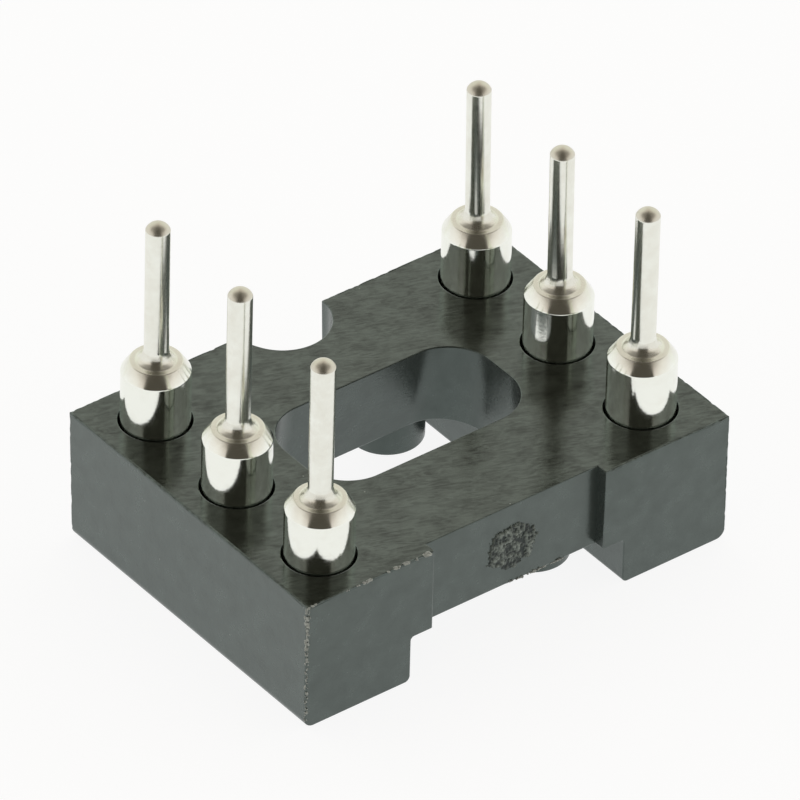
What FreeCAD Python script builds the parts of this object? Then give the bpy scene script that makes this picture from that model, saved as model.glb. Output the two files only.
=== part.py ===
import FreeCAD, Part
import math
import os
import Sketcher

# Open-frame socket for a dual-in-line package, with turned pins.
#
# A glass-filled plastic frame carries two rows of turned sleeves. Each sleeve has a solder tail at
# one end and a blind bore at the other, and a four-fingered clip in the bore grips the package's
# lead. The socket stands on its entry face, the side that the package plugs into, with its tails
# pointing up, as it lies on a bench before it is soldered.
#
# Frame: millimetres. X runs across the two rows and Y along them. Z = 0 is the entry face, and
# the origin is the middle of the pin grid on that face. The keying notch is at +Y and the
# moulding gate at -Y. Seen from the entry face with the notch at the top, pin 1 is top left.

SIZES = [
    # Pin grid
    ("pins_per_row", 3, "pins in each row"),
    ("pin_pitch", 2.54, "between neighbouring pins along a row"),
    ("row_spacing", 7.62, "between the two rows"),
    # Frame
    ("end_trim", 0.12, "how much shorter the frame is than its pin grid, so that sockets butt"),
    ("outer_wall", 0.24, "plastic outside a row, beside the heads' seats"),
    ("inner_wall", 0.33, "plastic inside a row, beside the heads' seats"),
    ("frame_height", 2.85, "entry face to solder face"),
    ("bridge_thickness", 1.83, "the slab that joins the bars"),
    ("bridge_depth", 2.48, "one bridge, from the end face to the middle opening"),
    ("recess_margin", 0.50, "flush stretch of slab between a bar and the recessed end face"),
    ("recess_depth", 0.25, "how far the gate's end face is set back"),
    ("opening_ledge", 0.11, "slab between a bar and the middle opening"),
    ("opening_spread", 0.19, "how far the opening's long walls spread towards the underside"),
    ("opening_corner", 0.95, "its corner radius"),
    ("notch_width", 1.94, "keying notch"),
    ("notch_depth", 1.08, "keying notch, from the end face"),
    ("bar_outer_round", 0.2, "lower outer edge of a bar"),
    ("bar_inner_round", 0.12, "lower inner edge of a bar"),
    ("relief_round", 0.1, "inside corner where a bar meets the slab"),
    ("pad_diameter", 1.5, "ejector pad under a bridge"),
    ("pad_side_gap", 0.28, "between an ejector pad and the bar"),
    ("pad_inset", 1.55, "ejector pad, from the end face"),
    ("pad_gap", 0.35, "ejector pad's end, above the entry face"),
    ("gate_width", 1.15, "broken gate's mark, across"),
    ("gate_height", 0.9, "broken gate's mark, upright"),
    ("gate_stub", 0.05, "broken gate, how far it stands out"),
    # Pin holes in the frame
    ("hole_gap", 0.055, "between a sleeve's barrel and its hole"),
    ("seat_gap", 0.05, "between a sleeve's head and its counterbore"),
    ("seat_depth", 0.55, "counterbore, from the entry face"),
    # Turned sleeve
    ("head_diameter", 1.8, "sleeve's head"),
    ("head_thickness", 0.45, "sleeve's head"),
    ("barrel_diameter", 1.35, "sleeve's barrel"),
    ("shoulder_fit", 0.005, "radial clearance left between the shoulder's foot and the hole"),
    ("shoulder_rise", 0.2, "tapered shoulder that centres the sleeve in its hole"),
    ("barrel_rise", 1.2, "straight barrel above the solder face"),
    ("end_bevel_height", 0.24, "bevel at the barrel's solder end"),
    ("rim_diameter", 1.01, "where that bevel ends"),
    ("root_diameter", 0.77, "foot of the cone at the tail's root"),
    ("root_cone_height", 0.085, "cone at the tail's root"),
    ("root_top_diameter", 0.62, "top of that cone"),
    ("root_skirt_height", 0.155, "steeper skirt from the cone up to the tail"),
    ("tail_diameter", 0.48, "solder tail"),
    ("tail_length", 3.21, "solder tail, from the sleeve's rim to its tip"),
    ("tip_height", 0.16, "domed end of the tail"),
    ("bore_diameter", 0.9, "sleeve's bore"),
    ("bore_depth", 3.1, "sleeve's bore, from its head face"),
    ("mouth_rim", 0.11, "how much the funnel at the bore's mouth widens it, each side"),
    ("mouth_depth", 0.12, "that funnel"),
    # Contact clip
    ("clip_fit", 0.01, "radial clearance of the clip's collar in the bore"),
    ("clip_wall", 0.06, "clip's sheet thickness"),
    ("clip_sink", 0.02, "clip's rim below the funnel"),
    ("collar_length", 0.6, "clip's unslit collar"),
    ("finger_count", 4, "fingers of a clip"),
    ("finger_length", 1.5, "from the collar to the finger tips"),
    ("finger_root", 0.1, "how far a finger reaches down into the collar"),
    ("finger_inset", 0.01, "a finger's root corners inside the collar's outer face"),
    ("finger_slit", 0.08, "between neighbouring fingers at their tips"),
    ("throat_diameter", 0.36, "opening between the finger tips"),
]

# Millimetres within which an edge counts as lying at a place.
CLOSE = 1e-4

doc = FreeCAD.newDocument("turned_pin_socket")

# The sheet that drives every object below.
sheet = doc.addObject("Spreadsheet::Sheet", "Sizes")
for row, (alias, amount, meaning) in enumerate(SIZES, start=1):
    sheet.set(f"A{row}", meaning)
    sheet.set(f"B{row}", str(amount))
    sheet.setAlias(f"B{row}", alias)
doc.recompute()


def value(expression):
    """The number that an expression on the sheet gives."""
    result = sheet.evalExpression(expression)
    return float(getattr(result, "Value", result))


# Levels and lengths that several features share.
FRAME_LENGTH = "(Sizes.pins_per_row * Sizes.pin_pitch - Sizes.end_trim)"
HALF_LENGTH = f"({FRAME_LENGTH} / 2)"
SEAT_RADIUS = "(Sizes.head_diameter / 2 + Sizes.seat_gap)"
HOLE_RADIUS = "(Sizes.barrel_diameter / 2 + Sizes.hole_gap)"
HALF_WIDTH = f"(Sizes.row_spacing / 2 + {SEAT_RADIUS} + Sizes.outer_wall)"
TOP = "Sizes.frame_height"
UNDERSIDE = "(Sizes.frame_height - Sizes.bridge_thickness)"
BAR_INNER = f"(Sizes.row_spacing / 2 - {SEAT_RADIUS} - Sizes.inner_wall)"
RECESS_EDGE = f"({BAR_INNER} - Sizes.recess_margin)"
OPENING_HALF_WIDTH = f"({BAR_INNER} - Sizes.opening_ledge)"
OPENING_HALF_LENGTH = f"({HALF_LENGTH} - Sizes.bridge_depth)"
FIRST_PIN = "(-(Sizes.pins_per_row - 1) * Sizes.pin_pitch / 2)"
HEAD_FACE = "(Sizes.seat_depth - Sizes.head_thickness)"
FUNNEL_END = f"({HEAD_FACE} + Sizes.mouth_depth)"
BORE_END = f"({HEAD_FACE} + Sizes.bore_depth)"
BARREL_END = "(Sizes.frame_height + Sizes.barrel_rise)"
RIM_LEVEL = f"({BARREL_END} + Sizes.end_bevel_height)"
ROOT_TOP = f"({RIM_LEVEL} + Sizes.root_cone_height)"
TAIL_TIP = f"({RIM_LEVEL} + Sizes.tail_length)"


# ---------------------------------------------------------------------------------------------
# Sketch and body helpers
# ---------------------------------------------------------------------------------------------

def new_body(label):
    """An empty body whose label is its piece's name."""
    body = doc.addObject("PartDesign::Body", label)
    body.Label = label
    return body


def new_sketch(body, name, plane, offset=None):
    """A sketch on one of the body's origin planes, lifted along its normal by an expression."""
    sketch = body.newObject("Sketcher::SketchObject", f"{body.Name}_{name}")
    support = next(item for item in body.Origin.OriginFeatures if item.Role == plane)
    sketch.AttachmentSupport = [(support, "")]
    sketch.MapMode = "FlatFace"
    if offset is not None:
        sketch.setExpression("AttachmentOffset.Base.z", offset)
    return sketch


def bind(sketch, constraint, expression):
    """Add a dimension and tie it to an expression."""
    index = sketch.addConstraint(constraint)
    sketch.setExpression(f"Constraints[{index}]", expression)


def fix_point(sketch, geometry, point, across, up):
    """Hold a point of the sketch at two expressions; a plain 0 puts it on the axis."""
    for kind, axis, expression in (("DistanceX", -2, across), ("DistanceY", -1, up)):
        if expression == "0":
            sketch.addConstraint(Sketcher.Constraint("PointOnObject", geometry, point, axis))
        else:
            distance = Sketcher.Constraint(kind, -1, 1, geometry, point, value(expression))
            bind(sketch, distance, expression)


def arc_between(start, end, radius, clockwise):
    """The short arc from start to end, and whether the sketch counts it from its end."""
    chord = end - start
    middle = (start + end) * 0.5
    height = math.sqrt(max(radius ** 2 - chord.Length ** 2 / 4, 0.0))
    normal = FreeCAD.Vector(-chord.y, chord.x, 0).normalize()
    centre = middle - normal * height if clockwise else middle + normal * height
    first, last = (end, start) if clockwise else (start, end)
    angles = [math.atan2(point.y - centre.y, point.x - centre.x) for point in (first, last)]
    if angles[1] < angles[0]:
        angles[1] += 2 * math.pi
    circle = Part.Circle(centre, FreeCAD.Vector(0, 0, 1), radius)
    return Part.ArcOfCircle(circle, *angles)


def draw_outline(sketch, corners):
    """Draw a closed outline through its corners, each a pair of expressions.

    A third item makes the run that leads to a corner an arc: the radius, and whether the arc
    turns clockwise on its way there.
    """
    places = [FreeCAD.Vector(value(corner[0]), value(corner[1]), 0) for corner in corners]
    ends = []
    for number, corner in enumerate(corners):
        start, end = places[number - 1], places[number]
        if len(corner) == 2:
            geometry = sketch.addGeometry(Part.LineSegment(start, end))
            ends.append((geometry, 1, 2))
        else:
            radius, clockwise = corner[2]
            geometry = sketch.addGeometry(arc_between(start, end, value(radius), clockwise))
            bind(sketch, Sketcher.Constraint("Radius", geometry, value(radius)), radius)
            ends.append((geometry, 2, 1) if clockwise else (geometry, 1, 2))
    for number, (geometry, _, tail) in enumerate(ends):
        following, head, _ = ends[(number + 1) % len(ends)]
        sketch.addConstraint(Sketcher.Constraint("Coincident", geometry, tail, following, head))
        fix_point(sketch, geometry, tail, *corners[number][:2])


def draw_circle(sketch, across, up, diameter):
    """Draw a circle from three expressions."""
    centre = FreeCAD.Vector(value(across), value(up), 0)
    circle = Part.Circle(centre, FreeCAD.Vector(0, 0, 1), value(diameter) / 2)
    geometry = sketch.addGeometry(circle)
    fix_point(sketch, geometry, 3, across, up)
    bind(sketch, Sketcher.Constraint("Diameter", geometry, value(diameter)), diameter)


def obround(half_across, half_up, middle):
    """The corners of a flat-sided oval whose middle is a height above the sketch's origin."""
    straight = f"({half_across} - {half_up})"
    bend = (half_up, False)
    return [
        (straight, f"{middle} - {half_up}"),
        (half_across, middle, bend),
        (straight, f"{middle} + {half_up}", bend),
        (f"-{straight}", f"{middle} + {half_up}"),
        (f"-{half_across}", middle, bend),
        (f"-{straight}", f"{middle} - {half_up}", bend),
    ]


def new_feature(body, kind, name, profile=None):
    """A feature of the body, made from a sketch where it has one."""
    feature = body.newObject(f"PartDesign::{kind}", f"{body.Name}_{name}")
    if profile is not None:
        feature.Profile = profile
    return feature


def recomputed(feature, adds):
    """Recompute, and stop if the feature didn't add or remove material as it should."""
    originals = getattr(feature, "Originals", [])
    base = originals[0] if originals else feature.BaseFeature
    before = base.Shape.Volume if base else 0.0
    doc.recompute()
    change = feature.Shape.Volume - before
    if (change > 0) != adds or change == 0:
        raise RuntimeError(f"{feature.Name} changed the volume by {change:.6f}")
    return feature


def edges_along_y(feature, across, up):
    """Names of the feature's edges that run along Y at a place across and up."""
    names = []
    for number, edge in enumerate(feature.Shape.Edges, start=1):
        box = edge.BoundBox
        flat = box.XLength < CLOSE and box.ZLength < CLOSE
        if flat and abs(box.Center.x - across) < CLOSE and abs(box.Center.z - up) < CLOSE:
            names.append(f"Edge{number}")
    return names


def edges_through_slab(feature, across):
    """Names of the feature's edges that climb the whole slab in a plane square to X."""
    names = []
    for number, edge in enumerate(feature.Shape.Edges, start=1):
        box = edge.BoundBox
        climbs = abs(box.ZMin - value(UNDERSIDE)) < CLOSE and abs(box.ZMax - value(TOP)) < CLOSE
        if climbs and box.XLength < CLOSE and abs(abs(box.Center.x) - across) < CLOSE:
            names.append(f"Edge{number}")
    return names


# ---------------------------------------------------------------------------------------------
# Frame
# ---------------------------------------------------------------------------------------------

def make_frame():
    """The moulded frame: two bars joined by a slab, with its opening, notch, pads and holes."""
    body = new_body("frame")

    section = new_sketch(body, "section", "XZ_Plane")
    draw_outline(section, [
        (HALF_WIDTH, "0"),
        (HALF_WIDTH, TOP),
        (f"-{HALF_WIDTH}", TOP),
        (f"-{HALF_WIDTH}", "0"),
        (f"-{BAR_INNER}", "0"),
        (f"-{BAR_INNER}", UNDERSIDE),
        (BAR_INNER, UNDERSIDE),
        (BAR_INNER, "0"),
    ])
    feature = new_feature(body, "Pad", "bars", section)
    feature.Midplane = True
    feature.setExpression("Length", FRAME_LENGTH)
    feature = recomputed(feature, adds=True)

    rounds = (
        ("outer_edges", "bar_outer_round", value(HALF_WIDTH), 0.0, False),
        ("inner_edges", "bar_inner_round", value(BAR_INNER), 0.0, False),
        ("relief_corners", "relief_round", value(BAR_INNER), value(UNDERSIDE), True),
    )
    for name, radius, across, up, adds in rounds:
        names = edges_along_y(feature, across, up) + edges_along_y(feature, -across, up)
        fillet = new_feature(body, "Fillet", name)
        fillet.Base = (feature, names)
        fillet.setExpression("Radius", f"Sizes.{radius}")
        feature = recomputed(fillet, adds)

    recess = new_sketch(body, "recess_outline", "XY_Plane", TOP)
    back_of_recess = f"(-{HALF_LENGTH} + Sizes.recess_depth)"
    draw_outline(recess, [
        (f"-{RECESS_EDGE}", f"-{HALF_LENGTH}"),
        (RECESS_EDGE, f"-{HALF_LENGTH}"),
        (RECESS_EDGE, back_of_recess),
        (f"-{RECESS_EDGE}", back_of_recess),
    ])
    cut = new_feature(body, "Pocket", "recess", recess)
    cut.Type = "ThroughAll"
    recomputed(cut, adds=False)

    opening = new_sketch(body, "opening_section", "YZ_Plane")
    low_half_length = f"({OPENING_HALF_LENGTH} + Sizes.opening_spread)"
    draw_outline(opening, [
        (OPENING_HALF_LENGTH, TOP),
        (f"-{OPENING_HALF_LENGTH}", TOP),
        (f"-{low_half_length}", UNDERSIDE),
        (low_half_length, UNDERSIDE),
    ])
    cut = new_feature(body, "Pocket", "opening", opening)
    cut.Midplane = True
    cut.setExpression("Length", f"2 * {OPENING_HALF_WIDTH}")
    cut = recomputed(cut, adds=False)
    corners = new_feature(body, "Fillet", "opening_corners")
    corners.Base = (cut, edges_through_slab(cut, value(OPENING_HALF_WIDTH)))
    corners.setExpression("Radius", "Sizes.opening_corner")
    recomputed(corners, adds=True)

    notch = new_sketch(body, "notch_outline", "XY_Plane", TOP)
    half_notch = "(Sizes.notch_width / 2)"
    notch_floor = f"({HALF_LENGTH} - Sizes.notch_depth)"
    bend = (half_notch, False)
    draw_outline(notch, [
        (half_notch, HALF_LENGTH),
        (f"-{half_notch}", HALF_LENGTH),
        (f"-{half_notch}", f"{notch_floor} + {half_notch}"),
        ("0", notch_floor, bend),
        (half_notch, f"{notch_floor} + {half_notch}", bend),
    ])
    cut = new_feature(body, "Pocket", "notch", notch)
    cut.Type = "ThroughAll"
    recomputed(cut, adds=False)

    pads = new_sketch(body, "pad_circles", "XY_Plane", UNDERSIDE)
    pad_across = f"({BAR_INNER} - Sizes.pad_side_gap - Sizes.pad_diameter / 2)"
    pad_along = f"({HALF_LENGTH} - Sizes.pad_inset)"
    for side in ("", "-"):
        draw_circle(pads, pad_across, f"{side}{pad_along}", "Sizes.pad_diameter")
    pad = new_feature(body, "Pad", "ejector_pads", pads)
    pad.Reversed = True
    pad.setExpression("Length", f"{UNDERSIDE} - Sizes.pad_gap")
    recomputed(pad, adds=True)

    gate = new_sketch(body, "gate_outline", "XZ_Plane", f"{HALF_LENGTH} - Sizes.recess_depth")
    draw_outline(gate, obround(
        "(Sizes.gate_width / 2)",
        "(Sizes.gate_height / 2)",
        f"({UNDERSIDE} + Sizes.bridge_thickness / 2)"))
    stub = new_feature(body, "Pad", "gate", gate)
    stub.setExpression("Length", "Sizes.gate_stub")
    recomputed(stub, adds=True)

    circles = new_sketch(body, "hole_circles", "XY_Plane")
    for side in ("", "-"):
        draw_circle(circles, f"{side}Sizes.row_spacing / 2", FIRST_PIN, f"(2 * {HOLE_RADIUS})")
    hole = new_feature(body, "Hole", "pin_holes", circles)
    doc.recompute()
    hole.Reversed = True
    hole.DepthType = "ThroughAll"
    hole.setExpression("Diameter", f"2 * {HOLE_RADIUS}")
    hole.HoleCutType = "Counterbore"
    hole.HoleCutCustomValues = True
    hole.setExpression("HoleCutDiameter", f"2 * {SEAT_RADIUS}")
    hole.setExpression("HoleCutDepth", "Sizes.seat_depth")
    recomputed(hole, adds=False)

    rows = new_feature(body, "LinearPattern", "hole_rows")
    rows.Originals = [hole]
    along = next(item for item in body.Origin.OriginFeatures if item.Role == "Y_Axis")
    rows.Direction = (along, [""])
    rows.setExpression("Length", "(Sizes.pins_per_row - 1) * Sizes.pin_pitch")
    rows.setExpression("Occurrences", "Sizes.pins_per_row")
    body.Tip = rows
    recomputed(rows, adds=False)
    return body


# ---------------------------------------------------------------------------------------------
# Turned sleeve
# ---------------------------------------------------------------------------------------------

def make_sleeve(label):
    """A turned sleeve: head, barrel with a centring shoulder, solder tail and blind bore."""
    body = new_body(label)
    head = "(Sizes.head_diameter / 2)"
    barrel = "(Sizes.barrel_diameter / 2)"
    rim = "(Sizes.rim_diameter / 2)"
    root_top = "(Sizes.root_top_diameter / 2)"
    tail = "(Sizes.tail_diameter / 2)"
    dome = f"(({tail} ^ 2 + Sizes.tip_height ^ 2) / (2 * Sizes.tip_height))"
    bore = "(Sizes.bore_diameter / 2)"

    profile = new_sketch(body, "profile", "XZ_Plane")
    draw_outline(profile, [
        # Blind bore and its funnel
        ("0", BORE_END),
        (bore, BORE_END),
        (bore, FUNNEL_END),
        (f"{bore} + Sizes.mouth_rim", HEAD_FACE),
        # Head, seated on the counterbore's floor
        (head, HEAD_FACE),
        (head, "Sizes.seat_depth"),
        # Centring shoulder, barrel and its bevelled end
        (f"{HOLE_RADIUS} - Sizes.shoulder_fit", "Sizes.seat_depth"),
        (barrel, "Sizes.seat_depth + Sizes.shoulder_rise"),
        (barrel, BARREL_END),
        (rim, RIM_LEVEL),
        # Solder tail, with its root and its domed tip
        ("Sizes.root_diameter / 2", RIM_LEVEL),
        (root_top, ROOT_TOP),
        (tail, f"{ROOT_TOP} + Sizes.root_skirt_height"),
        (tail, f"{TAIL_TIP} - Sizes.tip_height"),
        ("0", TAIL_TIP, (dome, False)),
    ])
    turned = new_feature(body, "Revolution", "turned", profile)
    turned.ReferenceAxis = (profile, ["V_Axis"])
    turned.Angle = 360
    recomputed(turned, adds=True)
    return body


# ---------------------------------------------------------------------------------------------
# Contact clip
# ---------------------------------------------------------------------------------------------

def make_clip(label):
    """A contact clip: a collar that is pressed into the bore, and fingers that grip a lead."""
    body = new_body(label)
    collar = "(Sizes.bore_diameter / 2 - Sizes.clip_fit)"
    throat = "(Sizes.throat_diameter / 2)"
    half_finger = f"({throat} * tan(180 / Sizes.finger_count) - Sizes.finger_slit / 2)"
    finger_back = f"(sqrt({collar} ^ 2 - {half_finger} ^ 2) - Sizes.finger_inset)"
    rim_level = f"({FUNNEL_END} + Sizes.clip_sink)"
    collar_level = f"({rim_level} + Sizes.collar_length)"
    root_level = f"({collar_level} - Sizes.finger_root)"
    tip_level = f"({collar_level} + Sizes.finger_length)"

    ring = new_sketch(body, "ring_profile", "XZ_Plane")
    draw_outline(ring, [
        (collar, rim_level),
        (collar, collar_level),
        (f"{collar} - Sizes.clip_wall", collar_level),
        (f"{collar} - Sizes.clip_wall", rim_level),
    ])
    drawn = new_feature(body, "Revolution", "collar", ring)
    drawn.ReferenceAxis = (ring, ["V_Axis"])
    drawn.Angle = 360
    recomputed(drawn, adds=True)

    side = new_sketch(body, "finger_profile", "XZ_Plane")
    draw_outline(side, [
        (finger_back, root_level),
        (finger_back, collar_level),
        (f"{throat} + Sizes.clip_wall", tip_level),
        (throat, tip_level),
        (f"{finger_back} - Sizes.clip_wall", collar_level),
        (f"{finger_back} - Sizes.clip_wall", root_level),
    ])
    finger = new_feature(body, "Pad", "finger", side)
    finger.Midplane = True
    finger.setExpression("Length", f"2 * {half_finger}")
    recomputed(finger, adds=True)

    fingers = new_feature(body, "PolarPattern", "fingers")
    fingers.Originals = [finger]
    upright = next(item for item in body.Origin.OriginFeatures if item.Role == "Z_Axis")
    fingers.Axis = (upright, [""])
    fingers.Angle = 360
    fingers.setExpression("Occurrences", "Sizes.finger_count")
    body.Tip = fingers
    recomputed(fingers, adds=True)
    return body


# ---------------------------------------------------------------------------------------------
# Assembly
# ---------------------------------------------------------------------------------------------

def pin_place(number, pins_per_row):
    """The side of the centre line that a pin is on, and its steps from the first hole."""
    if number <= pins_per_row:
        return 1, pins_per_row - number
    return -1, number - pins_per_row - 1


def stand_on_pin(body, side, steps):
    """Put a body on a pin's axis."""
    body.setExpression("Placement.Base.x", f"{side} * Sizes.row_spacing / 2")
    body.setExpression("Placement.Base.y", f"{FIRST_PIN} + {steps} * Sizes.pin_pitch")


def make_pieces():
    """Every piece of the socket, in its place."""
    pieces = [make_frame()]
    pins_per_row = round(value("Sizes.pins_per_row"))
    for number in range(1, 2 * pins_per_row + 1):
        for build, name in ((make_sleeve, "pin_sleeve"), (make_clip, "contact_clip")):
            body = build(f"{name}_{number}")
            stand_on_pin(body, *pin_place(number, pins_per_row))
            pieces.append(body)
    doc.recompute()
    return pieces


def check_pieces(pieces):
    """Stop if any object failed, or a piece has no sound solid."""
    for item in doc.Objects:
        if {"Invalid", "Error"} & set(item.State):
            raise RuntimeError(f"{item.Name} failed: {item.State}")
    for piece in pieces:
        shape = piece.Shape
        if shape.isNull() or not shape.isValid() or len(shape.Solids) != 1:
            raise RuntimeError(f"{piece.Label} isn't one sound solid")


def write_pieces(pieces):
    """Write each piece to a file with its own name."""
    os.makedirs("parts", exist_ok=True)
    for piece in pieces:
        piece.Shape.exportStep(f"parts/{piece.Label}.step")
        box = piece.Shape.optimalBoundingBox(False)
        print(f"{piece.Label}: {piece.Shape.Volume:.4f} mm3, z {box.ZMin:.3f} to {box.ZMax:.3f}")


all_pieces = make_pieces()
check_pieces(all_pieces)
write_pieces(all_pieces)
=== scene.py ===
"""Looks of a turned-pin socket for a dual-in-line package, standing on its entry face.

Meshes are modelled in millimetres, in the part's own frame, and scaled to metres when they become
pieces. X runs across the two rows, Y along them, and Z = 0 is the entry face on the floor.
"""

import logging
import math
import random
from dataclasses import dataclass
from enum import Enum

import bmesh
import bpy
from bmesh.types import BMesh, BMVert
from bpy.types import Material, Node, NodeSocket, NodeTree, Object
from mathutils import Matrix, Vector, noise


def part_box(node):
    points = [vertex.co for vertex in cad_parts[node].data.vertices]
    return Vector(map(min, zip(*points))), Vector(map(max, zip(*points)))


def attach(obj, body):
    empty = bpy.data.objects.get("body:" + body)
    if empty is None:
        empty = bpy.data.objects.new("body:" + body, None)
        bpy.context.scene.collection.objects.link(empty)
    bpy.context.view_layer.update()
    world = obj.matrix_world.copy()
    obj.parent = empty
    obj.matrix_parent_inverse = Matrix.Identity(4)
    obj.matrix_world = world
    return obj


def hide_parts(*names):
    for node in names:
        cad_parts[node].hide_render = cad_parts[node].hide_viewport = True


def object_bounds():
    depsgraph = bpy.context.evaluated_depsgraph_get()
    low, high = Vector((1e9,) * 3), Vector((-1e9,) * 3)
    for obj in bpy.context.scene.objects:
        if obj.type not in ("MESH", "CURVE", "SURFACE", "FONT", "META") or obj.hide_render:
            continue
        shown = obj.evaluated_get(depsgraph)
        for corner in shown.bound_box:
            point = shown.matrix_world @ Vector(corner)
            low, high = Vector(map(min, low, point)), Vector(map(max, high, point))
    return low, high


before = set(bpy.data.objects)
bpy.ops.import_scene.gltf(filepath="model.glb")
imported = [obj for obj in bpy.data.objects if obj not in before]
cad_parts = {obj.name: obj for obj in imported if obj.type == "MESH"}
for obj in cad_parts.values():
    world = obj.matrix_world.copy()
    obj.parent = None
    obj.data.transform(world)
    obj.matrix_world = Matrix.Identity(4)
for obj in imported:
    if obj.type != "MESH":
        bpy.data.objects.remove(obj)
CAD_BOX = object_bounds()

log = logging.getLogger("turned_pin_socket")

MM = 0.001
BODY = "root"
WHITE = "#FFFFFF"

# Millimetres: points nearer than TOUCH are one, and a finished face strays less than STRAY.
TOUCH = 1e-4
STRAY = 1e-3


class Slot(Enum):
    """The record's material slots."""

    PLASTIC = "glass_filled_plastic"
    TIN = "bright_tin"
    GOLD = "gold_flash"


# Node and mesh helpers

def linear(colour: str) -> tuple[float, float, float, float]:
    """Turns an sRGB hex colour to linear RGBA.

    Args:
        colour: Six hex digits after a hash.

    Returns:
        Red, green, blue and an alpha of 1.
    """
    parts = [int(colour[start:start + 2], 16) / 255 for start in (1, 3, 5)]
    channels = [part / 12.92 if part <= 0.04045 else ((part + 0.055) / 1.055) ** 2.4
                for part in parts]
    return (*channels, 1.0)


def add_node(tree: NodeTree, kind: str, inputs: dict | list = (), **settings: object) -> Node:
    """Adds a node with its settings, constants and links.

    Args:
        tree: Tree that gets the node.
        kind: Blender's name for the type of node, without its ShaderNode.
        inputs: Sources by the names of the sockets in use, or in their order, as a map range's
            value, range and result. A source is a constant, a hex colour, an output, or a node
            that stands for its first output in use.
        settings: The node's own properties.

    Returns:
        The new node.
    """
    node = tree.nodes.new(f"ShaderNode{kind}")
    for name, setting in settings.items():
        setattr(node, name, setting)
    sockets = [socket for socket in node.inputs if socket.enabled]
    if isinstance(inputs, dict):
        names = [socket.name for socket in sockets]
        pairs = [(sockets[names.index(name)], source) for name, source in inputs.items()]
    else:
        pairs = zip(sockets, inputs)
    for socket, source in pairs:
        if isinstance(source, Node):
            source = next(output for output in source.outputs if output.enabled)
        if isinstance(source, NodeSocket):
            tree.links.new(source, socket)
        else:
            socket.default_value = linear(source) if isinstance(source, str) else source
    return node


def new_material(name: str) -> tuple[Material, NodeTree]:
    """Makes an empty node material.

    Args:
        name: Name of the material.

    Returns:
        The material and its emptied tree.
    """
    material = bpy.data.materials.new(name)
    material.use_nodes = True
    material.node_tree.nodes.clear()
    return material, material.node_tree


def per_mm(size: float) -> float:
    """Scale of a pattern on coordinates in metres whose features are size millimetres long."""
    return 1 / (size * MM)


def face_out(bm: BMesh) -> None:
    """Turns a mesh's faces outwards."""
    bmesh.ops.recalc_face_normals(bm, faces=bm.faces)


def block(low: tuple[float, float, float], high: tuple[float, float, float]) -> BMesh:
    """Makes a box between two corners.

    Args:
        low: Lowest corner.
        high: Highest corner.

    Returns:
        The box as a mesh.
    """
    bm = bmesh.new()
    bmesh.ops.create_cube(bm, size=1.0)
    bmesh.ops.scale(bm, verts=bm.verts, vec=Vector(high) - Vector(low))
    bmesh.ops.translate(bm, verts=bm.verts, vec=(Vector(high) + Vector(low)) / 2)
    return bm


def extrude(bm: BMesh, faces: list) -> list[BMVert]:
    """Extrudes faces on the spot.

    Args:
        bm: Mesh that holds them.
        faces: Faces to extrude.

    Returns:
        The new vertices, which are still to be moved.
    """
    grown = bmesh.ops.extrude_face_region(bm, geom=faces)
    return [item for item in grown["geom"] if isinstance(item, BMVert)]


def bevel(bm: BMesh, parts: list, reach: float, segments: int, affect: str = "EDGES") -> None:
    """Rounds edges, or corners of an open outline.

    Args:
        bm: Mesh that holds them.
        parts: Edges or vertices to round.
        reach: How far the round reaches from them.
        segments: Faces or runs across the round.
        affect: EDGES or VERTICES.
    """
    bmesh.ops.bevel(bm, geom=parts, offset=reach, offset_type="OFFSET", segments=segments,
                    profile=0.5, affect=affect, material=-1, clamp_overlap=False,
                    loop_slide=False)


def close_surface(bm: BMesh, distance: float = TOUCH) -> None:
    """Merges a mesh's doubles and turns its faces outwards.

    Args:
        bm: Mesh to close.
        distance: Vertices nearer than this are one.
    """
    bmesh.ops.remove_doubles(bm, verts=bm.verts, dist=distance)
    bmesh.ops.dissolve_degenerate(bm, edges=bm.edges, dist=distance / 10)
    face_out(bm)


def lathe(points: list[tuple[float, float]], rounds: dict[int, tuple[float, int]],
          steps: int) -> BMesh:
    """Turns an outline in the XZ plane about Z.

    Args:
        points: Radius and height of each corner, from one end of the outline to the other.
        rounds: Number of a corner to its round: reach along both runs, and segments.
        steps: Faces round the axis.

    Returns:
        The turned surface.
    """
    bm = bmesh.new()
    verts = [bm.verts.new((radius, 0, height)) for radius, height in points]
    for pair in zip(verts, verts[1:]):
        bm.edges.new(pair)
    for number, (reach, segments) in rounds.items():
        bevel(bm, [verts[number]], reach, segments, "VERTICES")
    bmesh.ops.spin(bm, geom=bm.verts[:] + bm.edges[:], cent=(0, 0, 0), axis=(0, 0, 1),
                   dvec=(0, 0, 0), angle=math.tau, steps=steps, use_merge=True,
                   use_duplicate=False)
    close_surface(bm, TOUCH / 10)
    return bm


def join(parts: list[BMesh]) -> BMesh:
    """Puts several meshes in the first of them.

    Args:
        parts: Meshes to put together; all but the first are freed.

    Returns:
        The first mesh, with everything in it.
    """
    whole = parts[0]
    for part in parts[1:]:
        mesh = bpy.data.meshes.new("joined")
        part.to_mesh(mesh)
        part.free()
        whole.from_mesh(mesh)
        bpy.data.meshes.remove(mesh)
    return whole


def add_object(bm: BMesh, name: str) -> Object:
    """Makes an object of a mesh and links it to the scene.

    Args:
        bm: Mesh; freed.
        name: Name of the object and its mesh.

    Returns:
        The object.
    """
    mesh = bpy.data.meshes.new(name)
    bm.to_mesh(mesh)
    bm.free()
    thing = bpy.data.objects.new(name, mesh)
    bpy.context.scene.collection.objects.link(thing)
    return thing


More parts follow.
